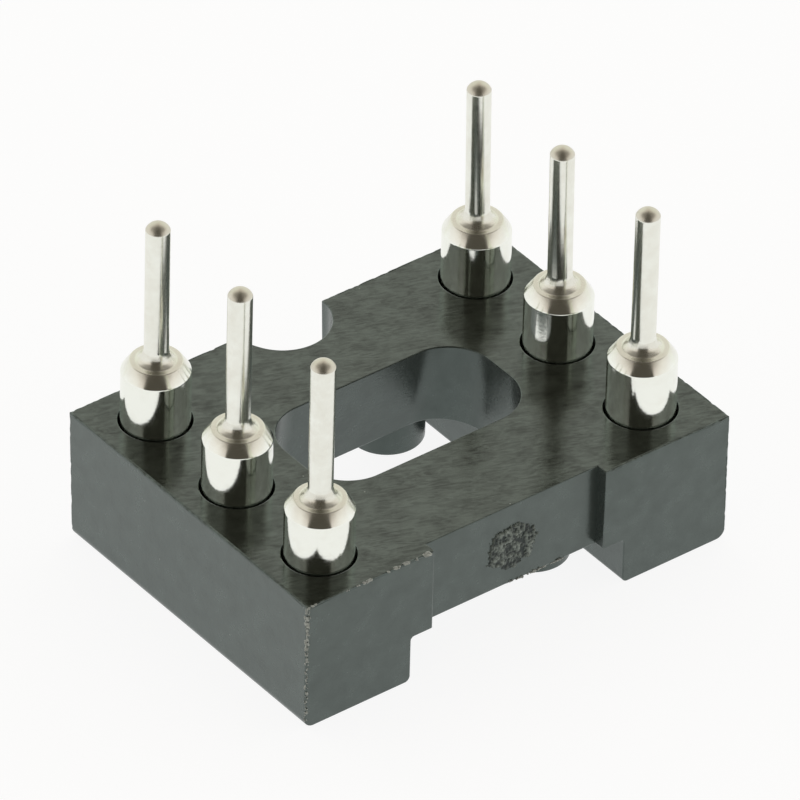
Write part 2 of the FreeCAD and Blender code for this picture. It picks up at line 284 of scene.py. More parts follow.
def combine(body: BMesh, tool: BMesh, operation: str) -> BMesh:
    """Cuts a mesh out of another or adds it.

    Args:
        body: Mesh to work on; freed.
        tool: Mesh that cuts or is added; freed.
        operation: DIFFERENCE or UNION.

    Returns:
        The result.
    """
    objects = [add_object(bm, "boolean") for bm in (body, tool)]
    cut = objects[0].modifiers.new("cut", "BOOLEAN")
    cut.operation = operation
    cut.solver = "EXACT"
    cut.object = objects[1]
    shaped = objects[0].evaluated_get(bpy.context.evaluated_depsgraph_get())
    result = bmesh.new()
    result.from_mesh(shaped.to_mesh())
    shaped.to_mesh_clear()
    for thing in objects:
        mesh = thing.data
        bpy.data.objects.remove(thing)
        bpy.data.meshes.remove(mesh)
    return result


def finish_piece(bm: BMesh, name: str, material: Material,
                 replaced: tuple[str, ...] = (), crease: float = 20.0) -> Object:
    """Turns a mesh in millimetres into a piece that rides on the socket.

    Args:
        bm: Mesh in millimetres; freed.
        name: Name of the piece.
        material: Its finish.
        replaced: CAD nodes that the piece stands for.
        crease: Edges that turn by more degrees than this stay sharp.

    Returns:
        The piece.
    """
    bmesh.ops.transform(bm, matrix=Matrix.Scale(MM, 4), verts=bm.verts)
    piece = add_object(bm, name)
    mesh = piece.data
    mesh.materials.append(material)
    mesh.shade_smooth()
    mesh.set_sharp_from_angle(angle=math.radians(crease))
    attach(piece, BODY)
    if replaced:
        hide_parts(*replaced)
    log.info("%s: %d faces, replaces %s", name, len(mesh.polygons), ", ".join(replaced) or "none")
    return piece


# Finishes

@dataclass(frozen=True)
class GlassFilledPolyester:
    """Black polyester with short glass fibres, injection moulded.

    The black pigment leaves a deep grey under a soft sheen. Fibres near the skin print through as
    short streaks that follow the melt's flow, most of all on the broad solder face, and a few
    bare fibre ends and dust grains show as pale specks. The side faces are given a paler grey than
    the solder face: that difference is painted light on one and the same plastic.
    """

    name: str = "glass_filled_polyester"
    pigment: str = "#1E201B"
    pigment_pale: str = "#2E312B"
    # The sides' paler grey is painted light: the same plastic, shown lighter where it faces
    # sideways.
    pigment_sides_painted_light: str = "#3C403D"
    speck: str = "#8C908C"
    reflection: str = "#EAFFF8"
    ior: float = 1.75
    sheen_sides: float = 0.62
    sheen_sides_swing: float = 0.07
    sheen_trough: float = 0.48
    sheen_crest: float = 1.0
    roughness: float = 0.25
    roughness_solder_face: float = 0.15
    roughness_swing: float = 0.04
    # Shares: of patches in the flow's pattern, and of cells that hold no speck
    patchiness: float = 0.4
    speckless: float = 0.72
    # Millimetres
    streak_length: float = 0.42
    streak_width: float = 0.1
    mottle: float = 0.42
    grain: float = 0.035
    speck_spacing: float = 0.62
    speck_radius: float = 0.02
    streak_height: float = 0.003
    grain_height: float = 0.0005
    # Streaks lean this many degrees from X.
    flow_angle: float = -22.0

    def build(self) -> Material:
        """Makes the material.

        Returns:
            The material.
        """
        material, tree = new_material(self.name)
        place = add_node(tree, "TexCoord").outputs["Object"]
        facing = add_node(tree, "SeparateXYZ", [
            add_node(tree, "NewGeometry").outputs["Normal"]])
        solder_face = add_node(tree, "MapRange", [facing.outputs["Z"], 0.6, 0.9])

        along_flow = add_node(tree, "Mapping", {
            "Vector": place, "Rotation": (0, 0, math.radians(self.flow_angle)),
            "Scale": (self.streak_length * MM, self.streak_width * MM, self.streak_width * MM)},
            vector_type="TEXTURE")
        streaks = add_node(tree, "TexNoise", {
            "Vector": along_flow, "Scale": 1.0, "Detail": 4.0, "Roughness": 0.62,
            "Distortion": 1.8})
        mottle, grain = (add_node(tree, "TexNoise", [place, per_mm(size), detail, 0.6])
                         for size, detail in ((self.mottle, 5.0), (self.grain, 2.0)))
        specks = add_node(tree, "TexVoronoi", [place, per_mm(self.speck_spacing)])

        # The solder face is patchy with streaks; the sides are nearly even.
        depth = add_node(tree, "MapRange", [streaks, 0.4, 0.58])
        patches = add_node(tree, "MapRange", [mottle, 0.38, 0.58])
        flow = add_node(tree, "Mix", [self.patchiness, depth, patches])
        flowed = add_node(tree, "Mix", [
            flow, self.pigment, self.pigment_pale], data_type="RGBA")
        # Side faces take the paler grey, which is painted light; the solder face keeps the streaked
        # pigment.
        grey = add_node(tree, "Mix", [
            solder_face, self.pigment_sides_painted_light, flowed], data_type="RGBA")
        # A speck fades out between 0.6 of its radius and the whole of it.
        rim = self.speck_radius / self.speck_spacing
        spot = add_node(tree, "MapRange", [specks.outputs["Distance"], rim, 0.6 * rim])
        chance = add_node(tree, "SeparateXYZ", [specks.outputs["Color"]])
        few = add_node(tree, "Math", [chance, self.speckless],
                       operation="GREATER_THAN")
        spotted = add_node(tree, "Math", [spot, few], operation="MULTIPLY")
        colour = add_node(tree, "Mix", [spotted, grey, self.speck], data_type="RGBA")

        polish = add_node(tree, "Mix", [
            solder_face, self.roughness, self.roughness_solder_face])
        uneven = add_node(tree, "MapRange", [
            mottle, 0.3, 0.7, -self.roughness_swing, self.roughness_swing])
        gloss = add_node(tree, "Math", [polish, uneven], operation="ADD")
        brushed = add_node(tree, "MapRange", [
            flow, 0.0, 1.0, self.sheen_trough, self.sheen_crest])
        cloudy = add_node(tree, "MapRange", [
            mottle, 0.35, 0.65, self.sheen_sides - self.sheen_sides_swing,
            self.sheen_sides + self.sheen_sides_swing])
        sheen = add_node(tree, "Mix", [solder_face, cloudy, brushed])
        relief = add_node(tree, "Bump", {
            "Distance": self.streak_height * MM, "Height": streaks})
        skin = add_node(tree, "Bump", {
            "Distance": self.grain_height * MM, "Height": grain, "Normal": relief})
        shader = add_node(tree, "BsdfPrincipled", {
            "Base Color": colour, "Roughness": gloss, "IOR": self.ior,
            "Specular IOR Level": sheen, "Specular Tint": self.reflection, "Normal": skin})
        add_node(tree, "OutputMaterial", {"Surface": shader})
        return material


@dataclass(frozen=True)
class TornPolyester:
    """The same polyester where it was torn: at the broken gate and along trimmed flash.

    Tearing leaves bare fibres and stressed resin that scatter light, so the tips are pale and the
    pits between them stay black. The attribute tear says how far a place stands out, from 0 to 1.
    """

    name: str = "torn_polyester"
    pit: str = "#222F2B"
    tip: str = "#A9B4AD"
    roughness: float = 0.55
    ior: float = 1.58
    # Millimetres
    fibre: float = 0.05
    fibre_height: float = 0.006

    def build(self) -> Material:
        """Makes the material.

        Returns:
            The material.
        """
        material, tree = new_material(self.name)
        place = add_node(tree, "TexCoord").outputs["Object"]
        fibres = add_node(tree, "TexNoise", [place, per_mm(self.fibre), 4.0, 0.7])
        height = add_node(tree, "Attribute", attribute_name="tear").outputs["Fac"]
        lifted = add_node(tree, "Math", [height, fibres], operation="MULTIPLY")
        bare = add_node(tree, "MapRange", [lifted, 0.08, 0.5])
        colour = add_node(tree, "Mix", [bare, self.pit, self.tip], data_type="RGBA")
        relief = add_node(tree, "Bump", {
            "Distance": self.fibre_height * MM, "Height": fibres})
        shader = add_node(tree, "BsdfPrincipled", {
            "Base Color": colour, "Roughness": self.roughness, "IOR": self.ior,
            "Normal": relief})
        add_node(tree, "OutputMaterial", {"Surface": shader})
        return material


@dataclass(frozen=True)
class BrightTin:
    """Turned brass, plated with bright tin.

    The plating levels the tool marks to a near mirror with a faint warm cast. What is left of
    them is a fine lay round the pin, which frays the edges of reflections, and a slow waviness.
    The attribute dullness says how far handling and plating have dulled a place, from 0 to 1.
    """

    name: str = "bright_tin_plate"
    metal: str = "#F1F3EB"
    metal_dull: str = "#DBD7C9"
    roughness: float = 0.1
    roughness_spread: float = 0.05
    roughness_dull: float = 0.26
    stain_swing: float = 0.2
    # Millimetres
    lay: float = 0.05
    lay_height: float = 0.00025
    wave: float = 0.08
    wave_height: float = 0.0006
    stain: float = 0.35

    def build(self) -> Material:
        """Makes the material.

        Returns:
            The material.
        """
        material, tree = new_material(self.name)
        place = add_node(tree, "TexCoord").outputs["Object"]
        # The lay runs round the axis: it changes along Z and barely across.
        round_axis = add_node(tree, "Mapping", {
            "Vector": place, "Scale": (0.08, 0.08, 1.0)})
        lay = add_node(tree, "TexNoise", [round_axis, per_mm(self.lay), 0.5])
        wave = add_node(tree, "TexNoise", [place, per_mm(self.wave), 1.0])
        stain = add_node(tree, "TexNoise", [place, per_mm(self.stain), 5.0, 0.65])
        dullness = add_node(tree, "Attribute",
                            attribute_name="dullness").outputs["Fac"]
        cast = add_node(tree, "MapRange", [
            stain, 0.3, 0.7, -self.stain_swing, self.stain_swing])
        dulled = add_node(tree, "Math", [dullness, cast], operation="ADD",
                          use_clamp=True)
        colour = add_node(tree, "Mix", [
            dulled, self.metal, self.metal_dull], data_type="RGBA")
        gloss = add_node(tree, "MapRange", [
            stain, 0.35, 0.75, self.roughness, self.roughness + self.roughness_spread])
        matt = add_node(tree, "Math", [dullness, self.roughness_dull, gloss],
                        operation="MULTIPLY_ADD")
        slow = add_node(tree, "Bump", {
            "Distance": self.wave_height * MM, "Height": wave})
        fine = add_node(tree, "Bump", {
            "Distance": self.lay_height * MM, "Height": lay, "Normal": slow})
        shader = add_node(tree, "BsdfPrincipled", {
            "Base Color": colour, "Metallic": 1.0, "Roughness": matt, "Normal": fine})
        add_node(tree, "OutputMaterial", {"Surface": shader})
        return material


@dataclass(frozen=True)
class GoldFlash:
    """Beryllium copper sheet with a flash of gold, pierced and rolled.

    A flash is thin, so the sheet's rolling lines still show through a deep yellow mirror.
    """

    name: str = "gold_flashed_beryllium_copper"
    metal: str = "#E3B452"
    metal_worn: str = "#C98F4A"
    roughness: float = 0.2
    # Millimetres
    rolling_line: float = 0.02
    line_height: float = 0.0005

    def build(self) -> Material:
        """Makes the material.

        Returns:
            The material.
        """
        material, tree = new_material(self.name)
        place = add_node(tree, "TexCoord").outputs["Object"]
        # The lines run up the fingers, along Z.
        along = add_node(tree, "Mapping", {"Vector": place, "Scale": (1.0, 1.0, 0.06)})
        lines = add_node(tree, "TexNoise", [along, per_mm(self.rolling_line)])
        colour = add_node(tree, "Mix", [
            lines, self.metal_worn, self.metal], data_type="RGBA")
        relief = add_node(tree, "Bump", {
            "Distance": self.line_height * MM, "Height": lines})
        shader = add_node(tree, "BsdfPrincipled", {
            "Base Color": colour, "Metallic": 1.0, "Roughness": self.roughness,
            "Normal": relief})
        add_node(tree, "OutputMaterial", {"Surface": shader})
        return material


# Moulded frame

@dataclass
class MouldedFrame:
    """The open plastic frame: two bars joined by a slab, with its holes, notch and pads.

    Lengths are in millimetres. The outer sizes and the pins' places come from the CAD model.
    """

    half_width: float
    half_length: float
    height: float
    pins: list[Vector]
    bar_inner: float = 2.53
    bridge_thickness: float = 1.83
    recess_half_width: float = 2.03
    recess_depth: float = 0.25
    gate_drop: float = 0.05
    opening_half_width: float = 2.42
    opening_half_length: float = 1.27
    opening_half_length_below: float = 1.46
    opening_corner: float = 0.95
    far_inset: float = 0.085
    far_draft: float = 0.115
    notch_width: float = 1.94
    notch_depth: float = 1.08
    bar_outer_round: float = 0.2
    bar_inner_round: float = 0.12
    relief_round: float = 0.08
    pad_radius: float = 0.75
    pad_across: float = 1.5
    pad_along: float = 2.25
    pad_end: float = 0.35
    pad_root: float = 0.1
    hole_radius: float = 0.715
    seat_radius: float = 0.95
    seat_depth: float = 0.55
    edge_round: float = 0.022
    nick_spacing: float = 0.07
    nick_depth: float = 0.012
    nick_border: float = 0.03
    overshoot: float = 0.5
    # Degrees: edges that turn less are dissolved, and edges that turn more are rounded.
    flat_angle: float = 0.4
    sharp_angle: float = 30.0

    @property
    def underside(self) -> float:
        """Height of the slab's underside."""
        return self.height - self.bridge_thickness

    @property
    def gate(self) -> Vector:
        """Centre of the broken gate, on the recessed end face."""
        return Vector((0, -self.half_length + self.recess_depth,
                       (self.height + self.underside) / 2 - self.gate_drop))

    def make_bars(self) -> BMesh:
        """Extrudes the bars' and slab's common section along Y and rounds its long edges.

        Returns:
            The plain body, without any cut.
        """
        bm = bmesh.new()
        outline = [(self.half_width, 0), (self.half_width, self.height),
                   (-self.half_width, self.height), (-self.half_width, 0),
                   (-self.bar_inner, 0), (-self.bar_inner, self.underside),
                   (self.bar_inner, self.underside), (self.bar_inner, 0)]
        section = bm.faces.new([bm.verts.new((x, -self.half_length, z)) for x, z in outline])
        bmesh.ops.translate(bm, verts=extrude(bm, [section]), vec=(0, 2 * self.half_length, 0))
        for across, up, radius in ((self.half_width, 0, self.bar_outer_round),
                                   (self.bar_inner, 0, self.bar_inner_round),
                                   (self.bar_inner, self.underside, self.relief_round)):
            edges = [edge for edge in bm.edges
                     if all(abs(abs(vert.co.x) - across) < TOUCH and abs(vert.co.z - up) < TOUCH
                            for vert in edge.verts)
                     and abs(edge.verts[0].co.x - edge.verts[1].co.x) < TOUCH]
            bevel(bm, edges, radius, 8)
        face_out(bm)
        return bm

    def upright_edges(self, bm: BMesh) -> list:
        """Edges of a cutter that run along Z."""
        return [edge for edge in bm.edges
                if (edge.verts[0].co.xy - edge.verts[1].co.xy).length < TOUCH]

    def make_opening(self) -> BMesh:
        """Makes the cutter of the opening, whose long walls spread towards the underside.

        Returns:
            The cutter, which goes on past both faces of the slab.
        """
        opening = block(
            (-self.opening_half_width, -self.opening_half_length, self.underside),
            (self.opening_half_width, self.opening_half_length, self.height))
        bevel(opening, self.upright_edges(opening), self.opening_corner, 24)
        below = [vert for vert in opening.verts if vert.co.z < self.underside + TOUCH]
        spread = self.opening_half_length_below / self.opening_half_length
        bmesh.ops.scale(opening, verts=below, vec=(1, spread, 1))
        slope = (spread - 1) * self.overshoot / self.bridge_thickness
        for level, rise, narrow in ((self.height, self.overshoot, 1 - slope),
                                    (self.underside, -self.overshoot, 1)):
            ends = [face for face in opening.faces if abs(face.normal.z) > 0.9
                    and abs(face.calc_center_median().z - level) < STRAY]
            verts = extrude(opening, ends)
            bmesh.ops.translate(opening, verts=verts, vec=(0, 0, rise))
            bmesh.ops.scale(opening, verts=verts, vec=(1, narrow, 1))
            bmesh.ops.delete(opening, geom=ends, context="FACES_ONLY")
        close_surface(opening)
        return opening

    def make_cutters(self) -> BMesh:
        """Makes what is cut out of the body: recess, opening, notch and pin holes.

        Returns:
            All the cutters in one mesh, apart from each other.
        """
        low, high = self.underside - self.overshoot, self.height + self.overshoot
        recess = block((-self.recess_half_width, -self.half_length - self.overshoot, low),
                       (self.recess_half_width, -self.half_length + self.recess_depth, high))
        half_notch = self.notch_width / 2
        notch = block((-half_notch, self.half_length - self.notch_depth, low),
                      (half_notch, self.half_length + half_notch, high))
        floor_edges = [edge for edge in self.upright_edges(notch)
                       if edge.verts[0].co.y < self.half_length]
        bevel(notch, floor_edges, half_notch - STRAY, 32)

        holes = []
        for pin in self.pins:
            hole = lathe([(0, -self.overshoot), (self.seat_radius, -self.overshoot),
                          (self.seat_radius, self.seat_depth),
                          (self.hole_radius, self.seat_depth),
                          (self.hole_radius, high), (0, high)], {}, 96)
            bmesh.ops.translate(hole, verts=hole.verts, vec=(pin.x, pin.y, 0))
            holes.append(hole)
        cutters = join([recess, self.make_opening(), notch, *holes])
        face_out(cutters)
        return cutters

    def make_pads(self) -> BMesh:
        """Makes the two ejector pads that hang under the bridges on the pin 1 side.

        Returns:
            Both pads, reaching a little into the slab.
        """
        pads = []
        root = self.underside + self.pad_root
        for side in (1, -1):
            pad = lathe([(0, self.pad_end), (self.pad_radius, self.pad_end),
                         (self.pad_radius, root), (0, root)], {}, 72)
            bmesh.ops.translate(pad, verts=pad.verts,
                                vec=(self.pad_across, side * self.pad_along, 0))
            pads.append(pad)
        return join(pads)

    def close_to(self, points: list[Vector], skin: float) -> list[bool]:
        """Tells which outer faces a set of points keeps close to.

        Args:
            points: The points.
            skin: How far inside a face still counts as close to it.

        Returns:
            Whether all of them are close to a side face, an end face and the solder face.
        """
        return [all(abs(point[axis]) > reach - skin for point in points)
                for axis, reach in enumerate((self.half_width, self.half_length, self.height))]

    def roughen(self, bm: BMesh) -> None:
        """Breaks the long outer edges into short runs and nudges them, as trimming does.

        Args:
            bm: The finished body.
        """
        skin = self.edge_round + STRAY
        # A border round each outer face keeps the face itself flat.
        flat = [face for face in bm.faces
                if any(self.close_to([vert.co for vert in face.verts], STRAY))]
        bm.normal_update()
        bmesh.ops.inset_region(bm, faces=flat, thickness=self.nick_border,
                               use_boundary=True, use_even_offset=True)
        for edge in [edge for edge in bm.edges if edge.calc_length() > 4 * self.nick_spacing]:
            if sum(self.close_to([vert.co for vert in edge.verts], skin)) >= 2:
                cuts = int(edge.calc_length() / self.nick_spacing)
                bmesh.ops.bisect_edges(bm, edges=[edge], cuts=cuts)
        for vert in bm.verts:
            near = self.close_to([vert.co], skin)
            if sum(near) >= 2:
                # Long dents with short ones in them.
                jolt = noise.noise_vector(vert.co * 9) + noise.noise_vector(vert.co * 31)
                inward = Vector([-math.copysign(close, along)
                                 for close, along in zip(near, vert.co)])
                vert.co += inward * max(jolt.x, 0) * self.nick_depth

    def lean_far_end(self, bm: BMesh) -> None:
        """Sets the far end face back a little and leans it: its draft widens it upwards.

        Args:
            bm: The finished body.
        """
        whole = self.half_length - self.edge_round - self.nick_border
        past_seats = max(pin.y for pin in self.pins) + self.seat_radius + self.edge_round
        in_notch = self.half_length - self.notch_depth / 2
        for vert in bm.verts:
            start = in_notch if abs(vert.co.x) < self.notch_width else past_seats
            share = min(max((vert.co.y - start) / (whole - start), 0), 1)
            lean = self.far_inset + self.far_draft * (1 - vert.co.z / self.height)
            vert.co.y -= share * lean

    def build(self, material: Material) -> Object:
        """Makes the frame.

        Args:
            material: Its finish.

        Returns:
            The piece, which stands for the CAD frame.
        """
        bm = combine(self.make_bars(), self.make_pads(), "UNION")
        bm = combine(bm, self.make_cutters(), "DIFFERENCE")
        close_surface(bm)
        bmesh.ops.dissolve_limit(bm, angle_limit=math.radians(self.flat_angle), verts=bm.verts,
                                 edges=bm.edges)
        face_out(bm)
        sharp = [edge for edge in bm.edges if edge.is_convex
                 and edge.calc_face_angle(0) > math.radians(self.sharp_angle)]
        bevel(bm, sharp, self.edge_round, 2)
        self.roughen(bm)
        bmesh.ops.triangulate(bm, faces=bm.faces)
        bmesh.ops.dissolve_degenerate(bm, edges=bm.edges, dist=STRAY)
        self.lean_far_end(bm)
        face_out(bm)
        return finish_piece(bm, "moulded_frame", material, ("frame",))


@dataclass
class GateScar:
    """The torn stub that is left on the recessed end face where the moulding gate broke off.

    Lengths are in millimetres.
    """

    centre: Vector
    half_width: float = 0.56
    half_height: float = 0.49
    columns: int = 96
    rows: int = 84
    base_height: float = 0.004
    relief: float = 0.05
    rim_share: float = 0.25
    root: float = 0.05
    clump: float = 0.17
    fibre: float = 0.06
    # Outline: how square its oval is, and each set of lobes by frequency, place and depth
    squareness: float = 2.3
    lobes: tuple[tuple[float, float, float], ...] = ((3, 1.7, 0.16), (9, 4.1, 0.14))
    margin: float = 1.2

    def height_at(self, place: Vector) -> float:
        """Works out how far the torn surface stands out.

        Args:
            place: A place on the face.

        Returns:
            Share of the full relief, from 0 to 1.
        """
        clumps = noise.noise(place / self.clump)
        fibres = noise.turbulence(place / self.fibre, 3, False)
        return min(max(0.42 + 0.8 * clumps + 0.7 * fibres, 0.0), 1.0)

    def build(self, material: Material) -> Object:
        """Makes the scar from a grid that is cut to a ragged oval and raised.

        Args:
            material: Its finish.

        Returns:
            The piece.
        """
        bm = bmesh.new()
        bmesh.ops.create_grid(bm, x_segments=self.columns, y_segments=self.rows, size=1.0)
        outside = []
        power = self.squareness
        for vert in bm.verts:
            across, up = vert.co.x * self.margin, vert.co.y * self.margin
            ragged = 1 + sum(depth * noise.noise(Vector((across * often, up * often, level)))
                             for often, level, depth in self.lobes)
            if (abs(across) ** power + abs(up) ** power) ** (1 / power) > ragged:
                outside.append(vert)
            vert.co = Vector((across * self.half_width, 0, up * self.half_height))
        bmesh.ops.delete(bm, geom=outside, context="VERTS")
        tear = bm.verts.layers.float.new("tear")
        rim = {vert for vert in bm.verts if vert.is_boundary}
        buried = set(extrude(bm, bm.faces[:]))
        for vert in bm.verts:
            height = self.height_at(vert.co)
            vert[tear] = height
            if vert in buried:
                vert.co.y = self.root
            else:
                share = self.rim_share if vert in rim else 1.0
                vert.co.y = -share * (self.base_height + self.relief * height)
        bmesh.ops.translate(bm, verts=bm.verts, vec=self.centre)
        face_out(bm)
        return finish_piece(bm, "gate_scar", material, crease=60.0)


@dataclass
class EdgeRun:
    """A stretch of an edge that still carries shreds of flash.

    start and end are its ends, shreds how many there are, and size how big they are on average.
    inward is the way from the edge over each of the faces that meet there, and scatter how far
    the shreds stray that way.
    """

    start: Vector
    end: Vector
    shreds: int
    size: float
    inward: tuple[Vector, Vector]
    scatter: float = 0.02


@dataclass
class MouldFlash:
    """Shreds of flash that trimming left on the frame's edges, in one piece."""

    runs: list[EdgeRun]
    seed: int = 11
    # Least and most: size against the run's, and length, width and thickness against the size
    sizes: tuple[float, float] = (0.45, 1.5)
    lengths: tuple[float, float] = (0.7, 1.6)
    widths: tuple[float, float] = (0.5, 1.1)
    thicknesses: tuple[float, float] = (0.4, 1.0)
    stretch: float = 1.1
    ruggedness: float = 0.5
    # Radians either way of the edge
    tilt: float = 0.5
    # How torn a shred looks, from 0 to 1
    tear: float = 0.75

    def add_shred(self, bm: BMesh, run: EdgeRun, rng: random.Random) -> None:
        """Adds one shred.

        Args:
            bm: Mesh that holds the shreds.
            run: The stretch of edge that it clings to.
            rng: Source of its place and size.
        """
        size = run.size * rng.uniform(*self.sizes) / 2
        made = bmesh.ops.create_icosphere(bm, subdivisions=1, radius=size)["verts"]
        for vert in made:
            vert.co *= 1 + self.ruggedness * rng.uniform(-1, 1)
        line = run.end - run.start
        lie = line.to_track_quat("X", "Z").to_matrix().to_4x4()
        shape = Matrix.Diagonal((self.stretch * rng.uniform(*self.lengths),
                                 rng.uniform(*self.widths), rng.uniform(*self.thicknesses), 1))
        turn = Matrix.Rotation(rng.uniform(-self.tilt, self.tilt), 4, "Z")
        place = run.start + line * rng.random()
        place += rng.choice(run.inward) * run.scatter * rng.random()
        bmesh.ops.transform(bm, matrix=Matrix.Translation(place) @ lie @ turn @ shape,
                            verts=made)

    def build(self, material: Material) -> Object:
        """Makes the shreds.

        Args:
            material: Their finish.

        Returns:
            The piece.
        """
        rng = random.Random(self.seed)
        bm = bmesh.new()
        tear = bm.verts.layers.float.new("tear")
        for run in self.runs:
            for _ in range(run.shreds):
                self.add_shred(bm, run, rng)
        for vert in bm.verts:
            vert[tear] = self.tear
        face_out(bm)
        return finish_piece(bm, "mould_flash", material, crease=60.0)


# Pins

@dataclass(frozen=True)
class Seating:
    """How one pin differs from a nominal one, in millimetres.

    sink is how much lower its shoulder stands, longer how much longer its tail is, and lean where
    its tip ends up across and along.
    """

    sink: float = 0.0
    longer: float = 0.0
    lean: tuple[float, float] = (0.0, 0.0)


@dataclass
class TurnedSleeve:
    """A turned sleeve: head, barrel, solder tail and blind bore. Lengths are in millimetres."""

    number: int
    place: Vector
    seating: Seating
    head_face: float = 0.10
    head_top: float = 0.55
    head_radius: float = 0.90
    shoulder_radius: float = 0.725
    shoulder_top: float = 0.75
    barrel_radius: float = 0.675
    barrel_top: float = 4.05
    rim_radius: float = 0.505
    rim_level: float = 4.29
    root_radius: float = 0.385
    root_top_radius: float = 0.285
    root_top: float = 4.39
    skirt_top: float = 4.53
    tail_radius: float = 0.24
    tip: float = 7.50
    tip_height: float = 0.16
    bore_radius: float = 0.45
    bore_end: float = 3.20
    mouth_radius: float = 0.56
    funnel_end: float = 0.22
    steps: int = 96
    tip_steps: int = 10
    # Share of the finish's dullest state: ring round the root, tail, dome
    ring_dullness: float = 0.55
    tail_dullness: float = 0.3
    dome_dullness: float = 1.0

    def dome(self, rim: float) -> list[tuple[float, float]]:
        """Points of the tail's domed end.

        Args:
            rim: Height where the dome starts.

        Returns:
            Radius and height of each point, from the rim to the apex.
        """
        sphere = (self.tail_radius ** 2 + self.tip_height ** 2) / (2 * self.tip_height)
        start = math.asin(self.tail_radius / sphere)
        middle = rim + self.tip_height - sphere
        angles = [start * (1 - step / self.tip_steps) for step in range(self.tip_steps + 1)]
        return [(sphere * math.sin(angle), middle + sphere * math.cos(angle))
                for angle in angles]

    def build(self, material: Material) -> Object:
        """Makes the sleeve.

        Args:
            material: Its finish.

        Returns:
            The piece, which stands for the CAD sleeve.
        """
        sink = self.seating.sink
        tail_end = self.tip - self.tip_height - sink + self.seating.longer
        points = [
            (0, self.bore_end), (self.bore_radius, self.bore_end),
            (self.bore_radius, self.funnel_end), (self.mouth_radius, self.head_face),
            (self.head_radius, self.head_face), (self.head_radius, self.head_top),
            (self.shoulder_radius, self.head_top), (self.barrel_radius, self.shoulder_top),
            (self.barrel_radius, self.barrel_top - sink), (self.rim_radius, self.rim_level - sink),
            (self.root_radius, self.rim_level - sink), (self.root_top_radius, self.root_top - sink),
            (self.tail_radius, self.skirt_top - sink), *self.dome(tail_end)]
        rounds = {4: (0.03, 4), 5: (0.03, 4), 8: (0.02, 4), 9: (0.015, 4), 10: (0.03, 4),
                  11: (0.05, 6), 12: (0.05, 6), 13: (0.012, 3)}
        bm = lathe(points, rounds, self.steps)
        dullness = bm.verts.layers.float.new("dullness")
        root = self.skirt_top - sink
        # Each share holds above its level; the ring's starts just below the ring's rounded edge.
        rises = ((self.rim_level - sink - 0.03, self.ring_dullness), (root, self.tail_dullness),
                 (tail_end + 0.01, self.dome_dullness))
        for vert in bm.verts:
            for level, dulled in rises:
                if vert.co.z > level:
                    vert[dullness] = dulled
            rise = max(vert.co.z - root, 0) / (tail_end - root)
            vert.co.x += self.seating.lean[0] * rise
            vert.co.y += self.seating.lean[1] * rise
        bmesh.ops.translate(bm, verts=bm.verts, vec=(self.place.x, self.place.y, 0))
        return finish_piece(bm, f"turned_sleeve_{self.number}", material,
                            (f"pin_sleeve_{self.number}",))


@dataclass
class SpringClip:
    """A four-fingered clip: a rolled collar whose slit end closes on the lead.

    Lengths are in millimetres. curl says how late the fingers close in: 1 is a quarter wave.
    """

    number: int
    place: Vector
    wall: float = 0.055
    radius: float = 0.41
    rim: float = 0.24
    collar_top: float = 0.84
    tip: float = 2.34
    throat: float = 0.18
    curl: float = 1.3
    fingers: int = 4
    steps: int = 64
    slit_steps: int = 2
    rings: int = 12

    def build(self, material: Material) -> Object:
        """Makes the clip from a thin turned shell that is slit and given a wall.

        Args:
            material: Its finish.

        Returns:
            The piece, which stands for the CAD clip.
        """
        outline = [(self.radius, self.rim), (self.radius, self.collar_top)]
        closed = self.throat + self.wall / 2
        for ring in range(1, self.rings + 1):
            share = ring / self.rings
            narrow = math.sin(share * math.pi / 2) ** self.curl
            outline.append((self.radius + (closed - self.radius) * narrow,
                            self.collar_top + (self.tip - self.collar_top) * share))
        bm = lathe(outline, {}, self.steps)
        per_finger = self.steps // self.fingers
        slits = []
        for face in bm.faces:
            middle = face.calc_center_median()
            step = int(math.atan2(middle.y, middle.x) % math.tau / math.tau * self.steps)
            if middle.z > self.collar_top and step % per_finger < self.slit_steps:
                slits.append(face)
        bmesh.ops.delete(bm, geom=slits, context="FACES")
        bmesh.ops.solidify(bm, geom=bm.faces[:], thickness=self.wall)
        face_out(bm)
        bmesh.ops.translate(bm, verts=bm.verts, vec=(self.place.x, self.place.y, 0))
        return finish_piece(bm, f"spring_clip_{self.number}", material,
                            (f"contact_clip_{self.number}",))


# Studio

